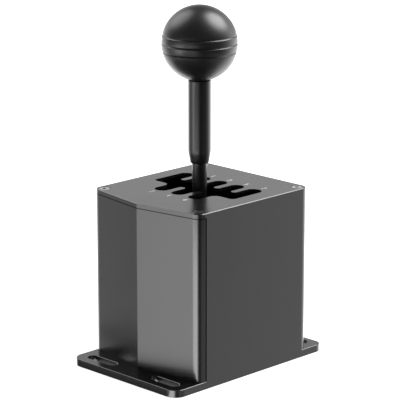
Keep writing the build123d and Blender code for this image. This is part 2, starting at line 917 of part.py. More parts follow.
def pin_clips():
    """Open rings that hold the pin."""
    low = cradle_half_width + clip_offset + clip_clearance
    high = low + clip_thickness
    inner = clip_groove_radius + clip_clearance
    clip = turned((inner, low), (clip_radius, low), (clip_radius, high), (inner, high))
    clip -= slab(0, overrun + clip_radius, -clip_mouth / 2, clip_mouth / 2, low, high)
    pieces = [
        Pos(0, lever_y, shift_height) * Rot(0, side * 90, 0) * Rot(0, 0, 90 - side * 90) * clip
        for side in (-1, 1)
    ]
    return group(pieces)


def lever_block():
    """Block on the pin: the lever screws into its neck, the detent slides in its tail."""
    body = slab(-block_side, block_side, -lever_block_half_depth, lever_block_half_depth,
                lever_block_low, lever_block_high)
    body = fillet(body.edges().filter_by(Axis.Z), lever_block_round)
    body += bar_z(neck_radius, lever_block_high, neck_top)
    body += bar_z(tail_radius, tail_low, lever_block_low)
    body -= bar_x(pin_radius + running_clearance, -body_width, body_width, 0, shift_height)
    body -= bar_z(lever_radius + bore_clearance, lever_foot - edge_break,
                  neck_top + overrun)
    body -= bar_z(detent_bore_radius, tail_low - overrun,
                  nose_height + detent_room)
    lock = lock_screw_radius + screw_clearance
    body -= bar_y(lock, 0, body_depth, 0, lever_block_high + neck_height / 2)
    body -= bar_y(lock, -body_depth, 0, 0, shift_height)
    return Pos(0, lever_y, 0) * body


def block_lock_screws():
    """One screw locks the lever in the neck, the other locks the block on its pin."""
    depth = lever_radius + screw_clearance
    upper = grub_screw(lock_screw_radius, lock_screw_socket, depth, neck_radius)
    upper = Pos(0, 0, lever_block_high + neck_height / 2) * Rot(-90, 0, 0) * upper
    depth = pin_radius + screw_clearance
    lower = grub_screw(lock_screw_radius, lock_screw_socket, depth, lever_block_half_depth)
    lower = Pos(0, 0, shift_height) * Rot(90, 0, 0) * lower
    return Pos(0, lever_y, 0) * group([upper, lower])


def lever_lock_nut():
    low = neck_top
    high = low + nut_height
    corner = nut_across_flats / sqrt(3)
    nut = hex_bar(nut_across_flats, low, high)
    nut &= turned(
        (0, low),
        (corner - nut_chamfer, low),
        (corner, low + nut_chamfer),
        (corner, high - nut_chamfer),
        (corner - nut_chamfer, high),
        (0, high),
    )
    nut -= bar_z(lever_radius + bore_clearance, low - overrun, high + overrun)
    return Pos(0, lever_y, 0) * nut


def lever_rod():
    """Bar that is slim through the gate and thicker under the hand."""
    outline = make_face(
        Polyline(
            (0, lever_foot),
            (lever_radius, lever_foot),
            (lever_radius, taper_low),
            (taper_foot_radius, taper_low),
            (grip_radius, taper_high),
            (grip_radius, grip_top - grip_chamfer),
            (grip_radius - grip_chamfer, grip_top),
            (knob_thread_radius, grip_top),
            (knob_thread_radius, grip_top + knob_thread_length),
            (0, grip_top + knob_thread_length),
            close=True,
        )
    )
    outline = fillet([v for v in outline.vertices() if abs(v.Y - taper_high) < edge_break],
                     taper_blend)
    foot = [v for v in outline.vertices() if abs(v.Y - taper_low) < edge_break]
    outline = fillet([v for v in foot if v.X > lever_radius + edge_break], taper_foot_round)
    return Pos(0, lever_y, 0) * revolve(Plane.XZ * outline, Axis.Z)


def knob():
    """Ball, flat underneath where it seats on the lever, with three narrow grooves."""
    disc = Circle(knob_radius) & (Pos(knob_radius, 0) * Rectangle(2 * knob_radius, 4 * knob_radius))
    flat = grip_top - knob_centre
    disc &= Pos(0, flat + knob_radius * 2) * Rectangle(4 * knob_radius, 4 * knob_radius)
    for height in groove_heights:
        edge = sqrt(knob_radius**2 - height**2)
        disc -= make_face(
            Polyline(
                (edge - groove_depth, height),
                (edge + groove_depth, height + 2 * groove_half_width),
                (edge + groove_depth, height - 2 * groove_half_width),
                close=True,
            )
        )
    ball = revolve(Plane.XZ * disc, Axis.Z)
    ball -= bar_z(insert_radius + bore_clearance, flat - overrun, flat + insert_length)
    return Pos(0, lever_y, knob_centre) * ball


def knob_insert():
    """Threaded brass insert, its outside ringed so that it holds in the ball."""
    top = grip_top + insert_length
    insert = bar_z(insert_radius, grip_top, top)
    rings = 3
    for ring in range(rings):
        middle = grip_top + insert_length * (ring + 1) / (rings + 1)
        low = middle - insert_knurl
        high = middle + insert_knurl
        insert -= turned(
            (insert_radius - insert_knurl_depth, low),
            (insert_radius + overrun, low),
            (insert_radius + overrun, high),
            (insert_radius - insert_knurl_depth, high),
        )
    insert -= bar_z(knob_thread_radius + bore_clearance, grip_top - overrun, top + overrun)
    return Pos(0, lever_y, 0) * insert


def detent_plunger():
    """Pin with a round nose that drops into the track's seats."""
    pin = bar_z(detent_ball_radius, nose_height, nose_height + detent_pin_length)
    pin += Pos(0, 0, nose_height) * Sphere(detent_ball_radius)
    return Pos(0, lever_y, 0) * pin


def detent_spring():
    low = nose_height + detent_pin_length
    spring = coil_spring(detent_spring_radius, detent_wire_radius, low,
                         low + detent_spring_height, detent_spring_pitch)
    return Pos(0, lever_y, 0) * spring


def select_board_face():
    """Distance from the lever's plane to the near face of the front sensor board."""
    return shaft_end_y + sensor_gap + sensor_chip_height


def select_sensor_board():
    """Board in front of the front shaft, its chip facing the magnet."""
    near = -select_board_face()
    board = slab(-sensor_board_half_width, sensor_board_half_width, near - board_thickness, near,
                 flange_thickness + sensor_board_lift, select_height + sensor_board_above)
    for side in (-1, 1):
        x = side * select_post_spacing / 2
        board -= bar_y(post_screw_radius + screw_clearance, near - overrun, near + overrun, x,
                       select_post_height)
    half = sensor_chip / 2
    chip = slab(-half, half, near, near + sensor_chip_height,
                select_height - half, select_height + half)
    return Pos(0, lever_y, 0) * (board + chip)


def select_board_posts():
    """Spacer tubes between the front bearing block and its board."""
    bore = post_screw_radius + screw_clearance
    low = block_outer_y
    high = select_board_face()
    tube = turned((bore, low), (spacer_post_radius, low), (spacer_post_radius, high), (bore, high))
    tube = Rot(90, 0, 0) * tube
    x = select_post_spacing / 2
    return mirrored_pair(Pos(x, lever_y, select_post_height) * tube)


def post_screw(length):
    return cap_screw(post_screw_radius, post_screw_head_radius, post_screw_head_height,
                     post_screw_socket, length)


def select_board_screws():
    face = select_board_face() + board_thickness
    length = face - block_outer_y + block_depth / 2 - thread_run_out
    screw = Pos(0, -face, 0) * Rot(90, 0, 0) * post_screw(length)
    return mirrored_pair(Pos(select_post_spacing / 2, lever_y, select_post_height) * screw)


def shift_board_face():
    """Distance from the middle plane to the near face of the cradle's sensor board."""
    return pin_left_end + sensor_gap + sensor_chip_height


def shift_sensor_board():
    """Board on the cradle's left cheek, its chip facing the pin's magnet."""
    near = -shift_board_face()
    board = slab(near - board_thickness, near, -shift_board_half_depth, shift_board_half_depth,
                 shift_height - shift_board_below, shift_height + shift_board_above)
    for side in (-1, 1):
        y = side * shift_post_spacing / 2
        board -= bar_x(post_screw_radius + screw_clearance, near - overrun, near + overrun, y,
                       shift_post_height)
    half = sensor_chip / 2
    chip = slab(near, near + sensor_chip_height, -half, half,
                shift_height - half, shift_height + half)
    return Pos(0, lever_y, 0) * (board + chip)


def shift_board_posts():
    """Spacer tubes between the cheek and its board."""
    bore = post_screw_radius + screw_clearance
    low = cradle_half_width
    high = shift_board_face()
    tube = turned((bore, low), (spacer_post_radius, low), (spacer_post_radius, high), (bore, high))
    tube = Rot(0, -90, 0) * tube
    y = shift_post_spacing / 2
    return group(Pos(0, lever_y + side * y, shift_post_height) * tube for side in (-1, 1))


def shift_board_screws():
    face = shift_board_face() + board_thickness
    length = face - cradle_half_width + cradle_side - thread_run_out
    screw = Pos(-face, 0, 0) * Rot(0, -90, 0) * post_screw(length)
    y = shift_post_spacing / 2
    return group(Pos(0, lever_y + side * y, shift_post_height) * screw for side in (-1, 1))


def board_rear_face():
    """Where the main board meets its posts."""
    return rear_y - side_wall - board_post_length


def main_board():
    """Circuit board with its processor and three cable headers."""
    rear = board_rear_face()
    front = rear - board_thickness
    board = slab(-main_board_half_width, main_board_half_width, front, rear,
                 main_board_foot, main_board_head)
    for x, z in board_posts():
        board -= bar_y(m3_radius + screw_clearance, front - overrun, rear + overrun, x, z)
    half = chip_side / 2
    middle = (main_board_foot + main_board_head) / 2
    board += slab(-half, half, front - chip_height, front, middle - half, middle + half)
    for place in (-1, 0, 1):
        x = place * header_pitch
        low = main_board_head - board_post_inset - header_height
        shell = slab(x - header_width / 2, x + header_width / 2, front - header_depth, front,
                     low, low + header_height)
        shell -= slab(x - header_width / 2 + header_wall, x + header_width / 2 - header_wall,
                      front - header_depth - overrun, front - header_wall,
                      low + header_wall, low + header_height - header_wall)
        board += shell
    return board


def board_screws():
    head_radius = m3_head_radius
    screw = cap_screw(m3_radius, head_radius, m3_head_height, m3_socket,
                      board_thickness + board_screw_length - thread_run_out)
    front = board_rear_face() - board_thickness
    return group(Pos(x, front, z) * Rot(90, 0, 0) * screw for x, z in board_posts())


def usb_socket():
    """Small oval socket for the computer's lead, with its contact tongue."""
    front = board_rear_face()
    rear = rear_y - socket_recess
    shape = SlotOverall(usb_width, usb_height)
    cavity = SlotOverall(usb_width - 2 * usb_shell, usb_height - 2 * usb_shell)
    body = extrude(Plane.XZ * shape, front - rear)
    hollow = extrude(Plane.XZ * cavity, -usb_depth - overrun)
    tongue = slab(-usb_tongue_width / 2, usb_tongue_width / 2, rear - usb_depth,
                  rear - usb_shell, -usb_tongue_thickness / 2, usb_tongue_thickness / 2)
    socket = Pos(0, front, 0) * body - Pos(0, rear - usb_depth, 0) * hollow + tongue
    return Pos(-usb_offset, 0, socket_height) * socket


def data_socket():
    """Modular socket for a second cable, with its latch notch."""
    front = board_rear_face()
    rear = rear_y - socket_recess
    half = data_width / 2
    rise = data_height / 2
    socket = slab(-half, half, front, rear, -rise, rise)
    depth = rear - data_cavity_depth
    cavity_half = data_cavity_width / 2
    low = -data_cavity_height / 2
    high = data_cavity_height / 2
    socket -= slab(-cavity_half, cavity_half, depth, rear + overrun, low, high)
    key = data_key_width / 2
    latch = data_latch_width / 2
    socket -= slab(-key, key, depth, rear + overrun, low - data_key_height, low)
    socket -= slab(-latch, latch, depth, rear + overrun, low - data_latch_height, low)
    return Pos(data_offset, 0, socket_height) * socket


pieces = {
    "housing": housing(),
    "front_cover": front_cover(),
    "gate_plate": gate_plate(),
    "gate_plate_screws": gate_plate_screws(),
    "front_cover_screws": front_cover_screws(),
    "bearing_block_screws": bearing_block_screws(),
    "cradle": cradle(),
    "shaft_spacers": shaft_spacers(),
    "shaft_set_screws": shaft_set_screws(),
    "detent_track": detent_track(),
    "detent_track_screws": detent_track_screws(),
    "select_magnet": select_magnet(),
    "select_sensor_board": select_sensor_board(),
    "select_board_posts": select_board_posts(),
    "select_board_screws": select_board_screws(),
    "shift_pin": shift_pin(),
    "shift_magnet": shift_magnet(),
    "pin_clips": pin_clips(),
    "shift_sensor_board": shift_sensor_board(),
    "shift_board_posts": shift_board_posts(),
    "shift_board_screws": shift_board_screws(),
    "lever_block": lever_block(),
    "block_lock_screws": block_lock_screws(),
    "lever_lock_nut": lever_lock_nut(),
    "lever_rod": lever_rod(),
    "knob": knob(),
    "knob_insert": knob_insert(),
    "detent_plunger": detent_plunger(),
    "detent_spring": detent_spring(),
    "main_board": main_board(),
    "board_screws": board_screws(),
    "usb_socket": usb_socket(),
    "data_socket": data_socket(),
}
for name, end in (("front", -1), ("rear", 1)):
    pieces[f"bearing_block_{name}"] = bearing_block(end)
    pieces[f"select_bearing_{name}"] = ball_bearing(end)
    pieces[f"select_shaft_{name}"] = select_shaft(end)
for name, side in (("left", -1), ("right", 1)):
    pieces[f"spring_guide_{name}"] = spring_guide(side)
    pieces[f"centring_spring_{name}"] = centring_spring(side)
    pieces[f"centring_plunger_{name}"] = centring_plunger(side)
    pieces[f"pin_bush_{name}"] = pin_bush(side)

for name, piece in pieces.items():
    export_step(piece, f"parts/{name}.step")
print("pieces", len(pieces), "select angle", round(select_angle, 3), "shift angle", shift_angle)
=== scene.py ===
# %% [markdown]
# # A gear shifter for a driving rig, dressed for the camera
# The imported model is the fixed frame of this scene. It gives every machined piece at its real size, in
# metres, with Z up. This notebook gives those pieces their finishes, models the turned and printed
# pieces that a close look shows, and then sets up a small studio with the camera.

import json
from math import acos, atan2, cos, pi, radians, sin, sqrt

import bmesh
import bpy
from mathutils import Matrix, Vector


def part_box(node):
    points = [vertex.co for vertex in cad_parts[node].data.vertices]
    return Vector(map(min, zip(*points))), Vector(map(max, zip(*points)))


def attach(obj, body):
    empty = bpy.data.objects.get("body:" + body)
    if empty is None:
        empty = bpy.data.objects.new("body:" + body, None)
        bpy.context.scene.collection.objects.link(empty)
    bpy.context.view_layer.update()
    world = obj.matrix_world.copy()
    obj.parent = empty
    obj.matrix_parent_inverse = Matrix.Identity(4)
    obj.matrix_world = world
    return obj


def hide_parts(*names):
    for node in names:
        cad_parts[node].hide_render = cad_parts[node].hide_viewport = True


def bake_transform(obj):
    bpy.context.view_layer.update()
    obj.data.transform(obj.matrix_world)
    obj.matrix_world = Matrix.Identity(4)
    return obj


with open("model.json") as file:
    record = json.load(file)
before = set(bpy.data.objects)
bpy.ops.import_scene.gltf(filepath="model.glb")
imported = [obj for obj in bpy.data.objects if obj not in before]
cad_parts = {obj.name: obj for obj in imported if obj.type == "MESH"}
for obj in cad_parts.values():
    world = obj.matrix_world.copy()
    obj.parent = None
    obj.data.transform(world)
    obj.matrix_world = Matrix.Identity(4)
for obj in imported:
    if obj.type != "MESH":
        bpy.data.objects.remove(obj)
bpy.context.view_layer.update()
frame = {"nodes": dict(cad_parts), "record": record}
nodes = frame["nodes"]
MM = 0.001

# %% [markdown]
# The camera comes first, because it fixes what has to be right. The photograph was taken with a long
# lens from the front right, a little above the gate, so the shifter's upright edges stay almost upright
# and parallel. The lens is given by its focal length in pixels of the 400 pixel frame, and Blender
# wants it in millimetres on a 36 mm sensor.

# %% Camera
CAMERA_AZIMUTH = radians(44.89)
CAMERA_ELEVATION = radians(14.705)
CAMERA_DISTANCE = 1.4569
CAMERA_TARGET = Vector((0.00188, -0.00044, 0.11065))
FOCAL_PIXELS = 2184.0
FRAME_PIXELS = 400
SENSOR_WIDTH = 36.0


def direction(azimuth, elevation):
    """Unit vector towards a place round the shifter: azimuth 0 is its front, 90 degrees its right."""
    level = cos(elevation)
    return Vector((sin(azimuth) * level, -cos(azimuth) * level, sin(elevation)))


camera_data = bpy.data.cameras.new("camera")
camera_data.sensor_width = SENSOR_WIDTH
camera_data.lens = FOCAL_PIXELS / FRAME_PIXELS * SENSOR_WIDTH
camera = bpy.data.objects.new("camera", camera_data)
camera.location = CAMERA_TARGET + direction(CAMERA_AZIMUTH, CAMERA_ELEVATION) * CAMERA_DISTANCE
camera.rotation_euler = (CAMERA_TARGET - camera.location).to_track_quat("-Z", "Y").to_euler()
bpy.context.scene.collection.objects.link(camera)
bpy.context.scene.camera = camera
bpy.context.scene.view_settings.view_transform = "Standard"
print("lens", round(camera_data.lens, 1), "mm")

# %% [markdown]
# ## The finishes
# Two effects turn up in nearly every finish, so each is a node group, built once. Both are made of the
# same few steps, and those are short functions: an empty group with named sockets, one sum, and noise
# that is read in the piece's own coordinates.

# %% Node helpers
BUMP_HEIGHT = 0.02 * MM
NOISE_MIDDLE = 0.5


def new_group(name, inputs, outputs):
    """Empty shader node group with named sockets. Returns the group and its two end nodes."""
    group = bpy.data.node_groups.new(name, "ShaderNodeTree")
    for label, kind, value in inputs:
        socket = group.interface.new_socket(name=label, in_out="INPUT", socket_type=kind)
        socket.default_value = value
    for label, kind in outputs:
        group.interface.new_socket(name=label, in_out="OUTPUT", socket_type=kind)
    start = group.nodes.new("NodeGroupInput")
    end = group.nodes.new("NodeGroupOutput")
    return group, start, end


def math_node(tree, operation, first, second):
    """Math node whose two operands are sockets or plain numbers."""
    node = tree.nodes.new("ShaderNodeMath")
    node.operation = operation
    for slot_index, operand in enumerate((first, second)):
        if isinstance(operand, bpy.types.NodeSocket):
            tree.links.new(operand, node.inputs[slot_index])
        else:
            node.inputs[slot_index].default_value = operand
    return node.outputs[0]


def noise_node(tree, scale, detail=2.0):
    """Noise read in Object coordinates."""
    place = tree.nodes.new("ShaderNodeTexCoord")
    noise = tree.nodes.new("ShaderNodeTexNoise")
    noise.inputs["Detail"].default_value = detail
    tree.links.new(place.outputs["Object"], noise.inputs["Vector"])
    if isinstance(scale, bpy.types.NodeSocket):
        tree.links.new(scale, noise.inputs["Scale"])
    else:
        noise.inputs["Scale"].default_value = scale
    return noise.outputs["Fac"]


# %% [markdown]
# The first effect is the very fine texture of a sprayed or blasted surface: a bump of small round
# grains, and slow patches that change the roughness a little. Without it black metal looks like plastic
# film.

# %% Satin grain group
PATCHES_PER_METRE = 35.0
PATCH_DETAIL = 3.0


def build_satin_grain():
    group, start, end = new_group(
        "satin_grain",
        [
            ("Grain per metre", "NodeSocketFloat", 2600.0),
            ("Bump", "NodeSocketFloat", 0.05),
            ("Roughness", "NodeSocketFloat", 0.25),
            ("Patchiness", "NodeSocketFloat", 0.04),
        ],
        [("Roughness", "NodeSocketFloat"), ("Normal", "NodeSocketVector")],
    )
    grain = noise_node(group, start.outputs["Grain per metre"])
    bump = group.nodes.new("ShaderNodeBump")
    bump.inputs["Distance"].default_value = BUMP_HEIGHT
    group.links.new(start.outputs["Bump"], bump.inputs["Strength"])
    group.links.new(grain, bump.inputs["Height"])
    group.links.new(bump.outputs["Normal"], end.inputs["Normal"])
    noise = noise_node(group, PATCHES_PER_METRE, PATCH_DETAIL)
    patches = math_node(group, "SUBTRACT", noise, NOISE_MIDDLE)
    change = math_node(group, "MULTIPLY", patches, start.outputs["Patchiness"])
    total = math_node(group, "ADD", change, start.outputs["Roughness"])
    group.links.new(total, end.inputs["Roughness"])
    return group


SATIN_GRAIN = build_satin_grain()
print(SATIN_GRAIN.name, len(SATIN_GRAIN.nodes), "nodes")

# %% [markdown]
# The second effect is the trace of a tool that went round or along the metal: fine lines across one
# axis. Stretching a noise texture hard along the other two axes draws them. On a turned piece the
# lines are rings, so the noise is squeezed along the piece's own axis.

# %% Tool marks group
ALONG_MARKS = 40.0
ACROSS_MARKS = 6000.0
RINGS_ROUND_X = (ACROSS_MARKS, ALONG_MARKS, ALONG_MARKS)
RINGS_ROUND_Y = (ALONG_MARKS, ACROSS_MARKS, ALONG_MARKS)
RINGS_ROUND_Z = (ALONG_MARKS, ALONG_MARKS, ACROSS_MARKS)
MARK_DETAIL = 3.0


def build_tool_marks():
    group, start, end = new_group(
        "tool_marks",
        [
            ("Lines per metre", "NodeSocketVector", RINGS_ROUND_Z),
            ("Bump", "NodeSocketFloat", 0.1),
            ("Roughness", "NodeSocketFloat", 0.3),
            ("Spread", "NodeSocketFloat", 0.15),
        ],
        [("Roughness", "NodeSocketFloat"), ("Normal", "NodeSocketVector")],
    )
    place = group.nodes.new("ShaderNodeTexCoord")
    stretch = group.nodes.new("ShaderNodeVectorMath")
    stretch.operation = "MULTIPLY"
    group.links.new(place.outputs["Object"], stretch.inputs[0])
    group.links.new(start.outputs["Lines per metre"], stretch.inputs[1])
    lines = group.nodes.new("ShaderNodeTexNoise")
    lines.inputs["Scale"].default_value = 1.0
    lines.inputs["Detail"].default_value = MARK_DETAIL
    group.links.new(stretch.outputs[0], lines.inputs["Vector"])
    bump = group.nodes.new("ShaderNodeBump")
    bump.inputs["Distance"].default_value = BUMP_HEIGHT
    group.links.new(start.outputs["Bump"], bump.inputs["Strength"])
    group.links.new(lines.outputs["Fac"], bump.inputs["Height"])
    group.links.new(bump.outputs["Normal"], end.inputs["Normal"])
    centred = math_node(group, "SUBTRACT", lines.outputs["Fac"], NOISE_MIDDLE)
    change = math_node(group, "MULTIPLY", centred, start.outputs["Spread"])
    total = math_node(group, "ADD", change, start.outputs["Roughness"])
    group.links.new(total, end.inputs["Roughness"])
    return group


TOOL_MARKS = build_tool_marks()
print(TOOL_MARKS.name, len(TOOL_MARKS.nodes), "nodes")

# %% [markdown]
# A finish is a Principled shader with one of those groups in front of it. What is the same all over the
# surface, such as the colour or how metallic it is, is set on the shader's own sockets. What changes
# over the surface comes from the group. A coated finish has the grain, a machined one the tool marks.

# %% Finish helpers


def finish(name, colour, group, settings, metallic=0.0, gloss_index=1.5):
    """Material whose roughness and normal come from a node group with its own values."""
    material = bpy.data.materials.new(name)
    material.use_nodes = True
    tree = material.node_tree
    shader = tree.nodes["Principled BSDF"]
    shader.inputs["Base Color"].default_value = (*colour, 1.0)
    shader.inputs["Metallic"].default_value = metallic
    shader.inputs["IOR"].default_value = gloss_index
    effect = tree.nodes.new("ShaderNodeGroup")
    effect.node_tree = group
    for label, value in settings.items():
        effect.inputs[label].default_value = value
    tree.links.new(effect.outputs["Roughness"], shader.inputs["Roughness"])
    tree.links.new(effect.outputs["Normal"], shader.inputs["Normal"])
    return material


def coated(name, colour, roughness, bump=0.05, grain=2600.0, gloss_index=1.5):
    settings = {"Roughness": roughness, "Bump": bump, "Grain per metre": grain}
    return finish(name, colour, SATIN_GRAIN, settings, gloss_index=gloss_index)


def machined(name, colour, roughness, lines, bump=0.1):
    settings = {"Roughness": roughness, "Bump": bump, "Lines per metre": lines}
    return finish(name, colour, TOOL_MARKS, settings, metallic=1.0)


# %% [markdown]
# The case, the lever and the ball are coated satin black, the last two a little duller. A high gloss
# index lets such a dark coat mirror its surroundings as strongly as the photograph shows. The pieces
# inside are plain metals, green circuit boards, black socket housings and nylon posts. Each packed
# node gets the finish of its slot in the record.

# %% Finishes
CASING_BLACK = (0.0045, 0.0045, 0.0048)
CASING_INDEX = 1.8
TURNED_BLACK = (0.004, 0.004, 0.0043)
LEVER_INDEX = 1.62
KNOB_INDEX = 1.7
materials = {
    "casing_black": coated("casing_black", CASING_BLACK, 0.24, gloss_index=CASING_INDEX),
    "lever_black": coated("lever_black", TURNED_BLACK, 0.34, gloss_index=LEVER_INDEX),
    "knob_black": coated(
        "knob_black", TURNED_BLACK, 0.36, bump=0.08, grain=3200.0, gloss_index=KNOB_INDEX
    ),
    "screw_steel": machined("screw_steel", (0.52, 0.52, 0.53), 0.2, RINGS_ROUND_Z),
    "screw_black": coated("screw_black", (0.02, 0.02, 0.021), 0.36, bump=0.1),
    # socket_shade is painted shade: near-black and dull, for the screw sockets and the sheet under the
    # base
    "socket_shade": coated("socket_shade", (0.004, 0.004, 0.004), 0.6),
    "machined_aluminium": machined("machined_aluminium", (0.72, 0.73, 0.74), 0.33, RINGS_ROUND_Y),
    "ground_steel": machined("ground_steel", (0.60, 0.60, 0.61), 0.24, RINGS_ROUND_Z),
    "bearing_steel": machined("bearing_steel", (0.66, 0.66, 0.67), 0.15, RINGS_ROUND_Y),
    "spring_steel": machined("spring_steel", (0.52, 0.52, 0.54), 0.3, RINGS_ROUND_Z),
    "zinc_steel": machined("zinc_steel", (0.68, 0.69, 0.72), 0.32, RINGS_ROUND_Z),
    "bronze": machined("bronze", (0.56, 0.36, 0.16), 0.36, RINGS_ROUND_Z),
    "insert_brass": machined("insert_brass", (0.72, 0.52, 0.2), 0.3, RINGS_ROUND_Z),
    "magnet_nickel": machined("magnet_nickel", (0.62, 0.6, 0.56), 0.18, RINGS_ROUND_X),
    "board_green": coated("board_green", (0.01, 0.075, 0.03), 0.3, bump=0.12, grain=900.0),
    "socket_steel": machined("socket_steel", (0.66, 0.66, 0.67), 0.28, RINGS_ROUND_Y),
    "socket_black": coated("socket_black", (0.014, 0.014, 0.014), 0.3, bump=0.1, grain=1800.0),
    "post_nylon": coated("post_nylon", (0.7, 0.7, 0.66), 0.45, bump=0.1, grain=1500.0),
}
for row in frame["record"]["subparts"]:
    node = nodes[row["node"]]
    node.data.materials.clear()
    node.data.materials.append(materials[row["material_slot"]])
print("finishes", len(materials))

# %% [markdown]
# ## Turned pieces
# The ball and the lever come off a lathe, so each is spun here from its half outline. A full spin with
# merged ends closes the seam, and the doubles on the axis are merged before the normals are worked out
# again. Corners are bevelled after the spin, because then one width serves a whole ring of edges.

# %% Turning helpers
SPIN_STEPS = 96
MERGE_DISTANCE = 0.001 * MM


def spun(outline):
    """Mesh turned about Z from (radius, height) points. Both ends of the outline lie on the axis."""
    mesh = bmesh.new()
    points = [mesh.verts.new((radius, 0.0, height)) for radius, height in outline]
    lines = [mesh.edges.new(pair) for pair in zip(points, points[1:])]
    bmesh.ops.spin(
        mesh,
        geom=points + lines,
        cent=(0.0, 0.0, 0.0),
        axis=(0.0, 0.0, 1.0),
        angle=2 * pi,
        steps=SPIN_STEPS,
        use_merge=True,
    )
    bmesh.ops.remove_doubles(mesh, verts=mesh.verts, dist=MERGE_DISTANCE)
    bmesh.ops.recalc_face_normals(mesh, faces=mesh.faces)
    return mesh


def ring_at(mesh, radius, height, slack=0.01 * MM):
    """Edges of a spun mesh that run round the axis through one corner of the outline."""

    def on_corner(vert):
        return abs(vert.co.z - height) < slack and abs(vert.co.xy.length - radius) < slack

    return [edge for edge in mesh.edges if all(on_corner(vert) for vert in edge.verts)]


def soften(mesh, corners, width, segments=3):
    """Round the outline corners of a spun mesh, each to the same width."""
    rings = [edge for radius, height in corners for edge in ring_at(mesh, radius, height)]
    bmesh.ops.bevel(
        mesh,
        geom=rings,
        offset=width,
        offset_type="OFFSET",
        segments=segments,
        profile=0.5,
        affect="EDGES",
        clamp_overlap=True,
        material=-1,
    )


# %% [markdown]
# A finished mesh becomes an object at the origin, with its place in the mesh, as the imported nodes have
# it. It is shaded smooth, but for the edges that are sharper than an angle. It gets the finishes it is
# given, rides on its body, and stands for the imported node that it replaces, which is hidden.

# %% Placing helpers
SHARP_DEGREES = 35


def made(mesh, name, finishes, angle=SHARP_DEGREES):
    """Object from a finished mesh. It is smooth, but for the edges sharper than the angle."""
    data = bpy.data.meshes.new(name)
    mesh.to_mesh(data)
    mesh.free()
    for material_name in finishes:
        data.materials.append(materials[material_name])
    data.shade_smooth()
    data.set_sharp_from_angle(angle=radians(angle))
    piece = bpy.data.objects.new(name, data)
    bpy.context.scene.collection.objects.link(piece)
    print(name, len(data.polygons), "faces")
    return piece


def placed(mesh, name, finishes, body, node, where=Vector((0.0, 0.0, 0.0)), angle=SHARP_DEGREES):
    """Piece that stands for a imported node. Its place goes into the mesh, and it rides on its body."""
    bmesh.ops.translate(mesh, verts=mesh.verts, vec=where)
    piece = made(mesh, name, finishes, angle)
    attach(piece, body)
    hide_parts(node)


# %% [markdown]
# ## The ball and its three grooves
# The outline starts on the axis inside the bore for the brass insert, comes out round the flat that
# seats on the lever, and climbs over the ball to its top. A groove adds three points: a lip, the bottom
# of the V and the other lip. The cuts are shallow, so the lower wall of each faces up and catches the
# light, and every dark groove has a thin light line under it. The lips are eased, as a lathe leaves
# them once the burr is off.

# %% Ball outline
rod_low, rod_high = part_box("lever_rod")
knob_low, knob_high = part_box("knob")
axis_x = (rod_low.x + rod_high.x) / 2
axis_y = (rod_low.y + rod_high.y) / 2
BALL_RADIUS = (knob_high.x - knob_low.x) / 2
BALL_FLAT = knob_low.z - (knob_high.z - BALL_RADIUS)
GROOVE_HEIGHTS = (-5.5 * MM, 0.0, 5.5 * MM)
GROOVE_DEPTH = 0.5 * MM
GROOVE_HALF_WIDTH = 0.65 * MM
GROOVE_ROOM = 2 * GROOVE_HALF_WIDTH
GROOVE_EASE = 0.12 * MM
BALL_STEP = radians(2.5)
INSERT_BORE = 6.55 * MM
INSERT_BORE_LENGTH = 20.0 * MM


def on_ball(height):
    return sqrt(BALL_RADIUS**2 - height**2), height


def ball_outline():
    """Outline of the ball about its centre, and the corners whose edges are eased."""
    bore_top = BALL_FLAT + INSERT_BORE_LENGTH
    flat_edge = on_ball(BALL_FLAT)
    outline = [(0.0, bore_top), (INSERT_BORE, bore_top), (INSERT_BORE, BALL_FLAT), flat_edge]
    corners = [flat_edge]
    stops = []
    angle = -acos(flat_edge[0] / BALL_RADIUS) + BALL_STEP
    while angle < pi / 2 - BALL_STEP / 2:
        height = BALL_RADIUS * sin(angle)
        if all(abs(height - groove) > GROOVE_ROOM for groove in GROOVE_HEIGHTS):
            stops.append(on_ball(height))
        angle += BALL_STEP
    for groove in GROOVE_HEIGHTS:
        lips = [on_ball(groove - GROOVE_HALF_WIDTH), on_ball(groove + GROOVE_HALF_WIDTH)]
        corners += lips
        stops += lips
        stops.append((on_ball(groove)[0] - GROOVE_DEPTH, groove))
    stops.sort(key=lambda point: point[1])
    outline += stops
    outline.append((0.0, BALL_RADIUS))
    return outline, corners


# %% [markdown]
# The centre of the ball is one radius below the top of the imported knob, on the lever's axis.

# %% Ball
outline, corners = ball_outline()
ball = spun(outline)
soften(ball, corners, GROOVE_EASE)
ball_centre = Vector((axis_x, axis_y, knob_high.z - BALL_RADIUS))
placed(ball, "knob_ball", ("knob_black",), "lever", "knob", where=ball_centre)

# %% [markdown]
# ## The lever
# The lever is one bar, slim through the gate and thicker under the hand. The thick part tapers at its
# foot and ends in a small step, and both ends of the taper are rounded, so no edge there is sharp. The
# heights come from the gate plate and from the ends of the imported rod.

# %% Lever
PLATE_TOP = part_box("gate_plate")[1].z
SLIM_RADIUS = 5.0 * MM
GRIP_RADIUS = 7.6 * MM
FOOT_RADIUS = 6.1 * MM
THREAD_RADIUS = 4.0 * MM
SLIM_RISE = 17.3 * MM
TAPER_LENGTH = 7.9 * MM
TAPER_FOOT_EASE = 0.7 * MM
TAPER_TOP_EASE = 1.4 * MM
GRIP_CHAMFER = 0.6 * MM

